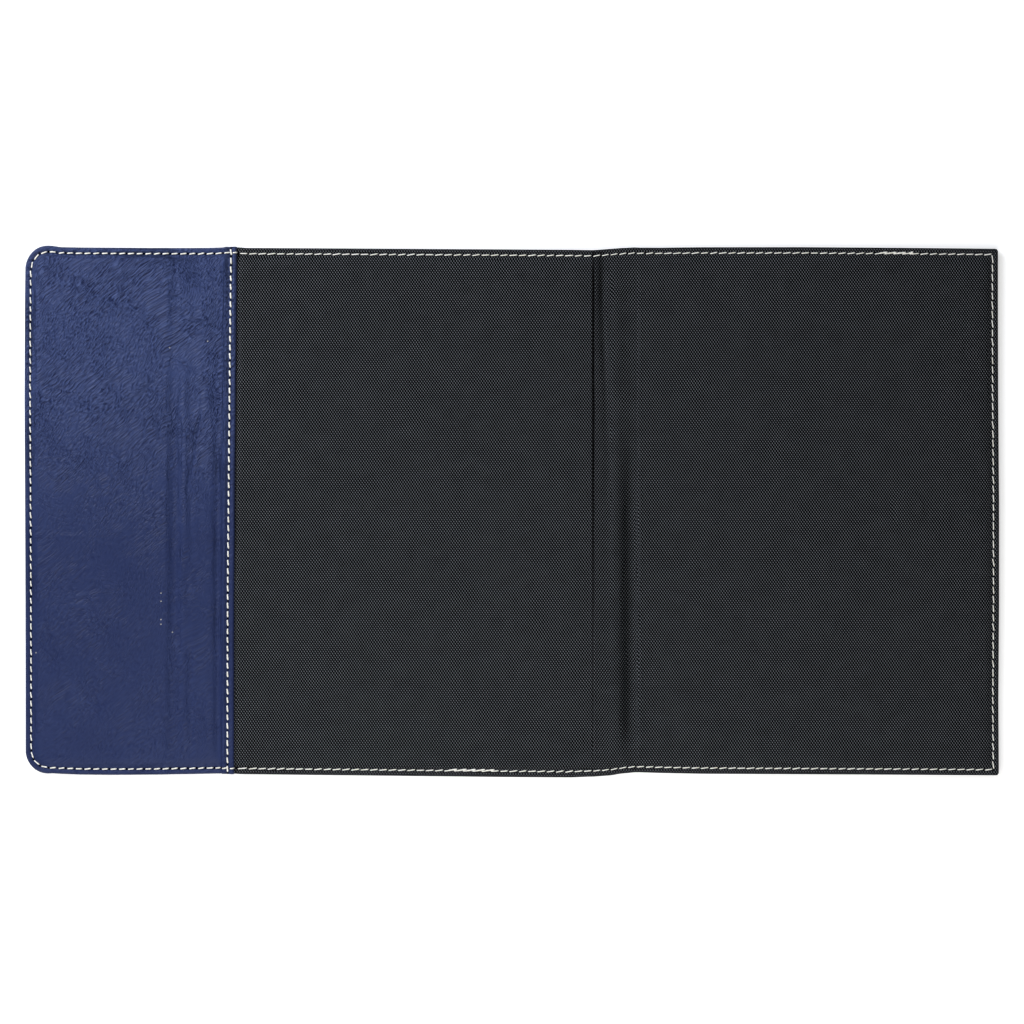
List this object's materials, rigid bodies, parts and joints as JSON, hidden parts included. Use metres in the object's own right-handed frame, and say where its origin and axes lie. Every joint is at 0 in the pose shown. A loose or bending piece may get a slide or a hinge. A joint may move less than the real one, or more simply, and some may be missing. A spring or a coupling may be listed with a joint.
{
  "type": "padfolio",
  "caption": "Slim padfolio laid open, outside up: woven cloth covers with a soft spine and a magnetic leatherette flap with contrast stitching.",
  "frame": {"origin": "middle of the opened cover, on the plane that it lies on", "axes": "+X towards the front cover's free edge, +Y towards the head of the covers, +Z out of the outside face"},
  "size_m": [0.435, 0.2366, 0.0039],
  "materials": {
    "cover_cloth": "coarse plain weave, matt",
    "flap_leather": "creased satin leatherette",
    "lining": "fine smooth lining cloth",
    "pocket": "smooth pocket cloth",
    "board": "grey board",
    "magnet": "plated",
    "thread": "thick cream sewing thread"
  },
  "bodies": {
    "back": {"back_cover_cloth": "cover_cloth", "back_board": "board", "back_lining": "lining", "pad_sleeve": "pocket", "leather_hem": "flap_leather", "hem_thread": "thread", "back_head_thread": "thread", "back_tail_thread": "thread"},
    "spine": {"spine_cloth": "cover_cloth", "spine_lining": "lining", "spine_head_thread": "thread", "spine_tail_thread": "thread"},
    "front": {"front_cover_cloth": "cover_cloth", "front_board": "board", "front_magnet": "magnet", "front_lining": "lining", "document_pocket": "pocket", "front_thread": "thread"},
    "gusset": {"gusset_leather": "flap_leather", "gusset_lining": "lining", "gusset_head_thread": "thread", "gusset_tail_thread": "thread"},
    "flap": {"flap_leather": "flap_leather", "flap_board": "board", "flap_magnet": "magnet", "flap_lining": "lining", "flap_thread": "thread"}
  },
  "joints": [
    {"name": "back_spine_fold", "type": "hinge", "parent": "back", "child": "spine", "pos_m": [0.0362, 0, 0.00063], "axis": [0, 1, 0], "range_deg": [0, 90]},
    {"name": "spine_front_fold", "type": "hinge", "parent": "spine", "child": "front", "pos_m": [0.0548, 0, 0.00063], "axis": [0, 1, 0], "range_deg": [0, 90]},
    {"name": "back_gusset_fold", "type": "hinge", "parent": "back", "child": "gusset", "pos_m": [-0.1294, 0, 0.00063], "axis": [0, -1, 0], "range_deg": [0, 90]},
    {"name": "gusset_flap_fold", "type": "hinge", "parent": "gusset", "child": "flap", "pos_m": [-0.1518, 0, 0], "axis": [0, -1, 0], "range_deg": [0, 90]}
  ]
}
